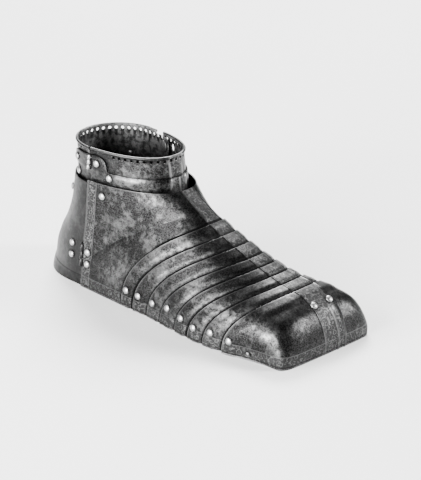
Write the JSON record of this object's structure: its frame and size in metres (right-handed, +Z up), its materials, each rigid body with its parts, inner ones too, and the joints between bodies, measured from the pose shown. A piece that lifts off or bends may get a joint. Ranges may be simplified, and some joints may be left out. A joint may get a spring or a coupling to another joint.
{
  "type": "sabaton",
  "caption": "Steel foot armour for a right foot: hinged ankle collar and heel plate, ridged instep plate, overlapping sliding lames and a broad blunt toe cap.",
  "frame": {"origin": "centre of the base of the box over the whole object, on the surface it rests on", "axes": "+X towards the toe, +Y towards the big toe side, +Z up"},
  "size_m": [0.294, 0.1086, 0.1222],
  "materials": {
    "dark_steel": "dark patinated polish",
    "rivet_steel": "worn bright"
  },
  "bodies": {
    "instep": {"instep_plate": "dark_steel", "collar_lower": "dark_steel", "collar_upper": "dark_steel", "heel_hinge_front": "dark_steel", "heel_hinge_pin": "rivet_steel", "collar_hinge_pin": "rivet_steel", "instep_rivet_outer": "rivet_steel", "instep_rivet_inner": "rivet_steel", "collar_rivet_outer": "rivet_steel", "collar_rivet_inner": "rivet_steel", "ear_rivet": "rivet_steel", "heel_hinge_rivet_front_1": "rivet_steel", "heel_hinge_rivet_front_2": "rivet_steel"},
    "heel": {"heel_plate": "dark_steel", "rear_collar": "dark_steel", "collar_hinge_leaf": "dark_steel", "heel_hinge_rear": "dark_steel", "leaf_rivet": "rivet_steel", "rear_collar_rivet_outer": "rivet_steel", "rear_collar_rivet_inner": "rivet_steel", "heel_rivet_outer": "rivet_steel", "heel_rivet_inner": "rivet_steel", "heel_hinge_rivet_rear_1": "rivet_steel", "heel_hinge_rivet_rear_2": "rivet_steel", "closing_stud": "rivet_steel"},
    "lame_1": {"lame_1": "dark_steel", "side_rivet_1_outer": "rivet_steel", "side_rivet_1_inner": "rivet_steel"},
    "lame_2": {"lame_2": "dark_steel", "side_rivet_2_outer": "rivet_steel", "side_rivet_2_inner": "rivet_steel"},
    "lame_3": {"lame_3": "dark_steel", "side_rivet_3_outer": "rivet_steel", "side_rivet_3_inner": "rivet_steel"},
    "lame_4": {"lame_4": "dark_steel", "side_rivet_4_outer": "rivet_steel", "side_rivet_4_inner": "rivet_steel"},
    "lame_5": {"lame_5": "dark_steel", "side_rivet_5_outer": "rivet_steel", "side_rivet_5_inner": "rivet_steel"},
    "lame_6": {"lame_6": "dark_steel", "side_rivet_6_outer": "rivet_steel", "side_rivet_6_inner": "rivet_steel"},
    "lame_7": {"lame_7": "dark_steel", "side_rivet_7_outer": "rivet_steel", "side_rivet_7_inner": "rivet_steel"},
    "toe": {"toe_cap": "dark_steel", "side_rivet_8_outer": "rivet_steel", "side_rivet_8_inner": "rivet_steel", "toe_top_rivet_outer": "rivet_steel", "toe_top_rivet_inner": "rivet_steel", "toe_side_rivet_outer": "rivet_steel", "toe_side_rivet_inner": "rivet_steel"}
  },
  "joints": [
    {"name": "heel_hinge", "type": "hinge", "parent": "instep", "child": "heel", "pos_m": [-0.083, -0.0389, 0.02825], "axis": [0.0832, 0.0568, 0.9949], "range_deg": [0, 100]},
    {"name": "lame_1_pivot", "type": "hinge", "parent": "instep", "child": "lame_1", "pos_m": [-0.02544, 0.0009, 0.01596], "axis": [0.0004, -1, -0.0001], "range_deg": [0, 3]},
    {"name": "lame_2_pivot", "type": "hinge", "parent": "lame_1", "child": "lame_2", "pos_m": [-0.01121, 0.00102, 0.01549], "axis": [0.0001, -1, -0.0001], "range_deg": [0, 3]},
    {"name": "lame_3_pivot", "type": "hinge", "parent": "lame_2", "child": "lame_3", "pos_m": [0.00592, 0.00092, 0.01505], "axis": [-0.0009, -1, 0.0003], "range_deg": [0, 3]},
    {"name": "lame_4_pivot", "type": "hinge", "parent": "lame_3", "child": "lame_4", "pos_m": [0.02405, 0.0003, 0.01716], "axis": [-0.0019, -1, 0.0007], "range_deg": [0, 3]},
    {"name": "lame_5_pivot", "type": "hinge", "parent": "lame_4", "child": "lame_5", "pos_m": [0.04114, -0.00045, 0.01474], "axis": [-0.0061, -1, 0.0008], "range_deg": [0, 3]},
    {"name": "lame_6_pivot", "type": "hinge", "parent": "lame_5", "child": "lame_6", "pos_m": [0.0561, -0.0009, 0.01208], "axis": [-0.0106, -0.9999, 0.0006], "range_deg": [0, 3]},
    {"name": "lame_7_pivot", "type": "hinge", "parent": "lame_6", "child": "lame_7", "pos_m": [0.07418, -0.00064, 0.0138], "axis": [-0.016, -0.9999, 0.0001], "range_deg": [0, 3]},
    {"name": "toe_pivot", "type": "hinge", "parent": "lame_7", "child": "toe", "pos_m": [0.09247, 0.00076, 0.01216], "axis": [-0.0243, -0.9997, -0.0004], "range_deg": [0, 3]}
  ]
}
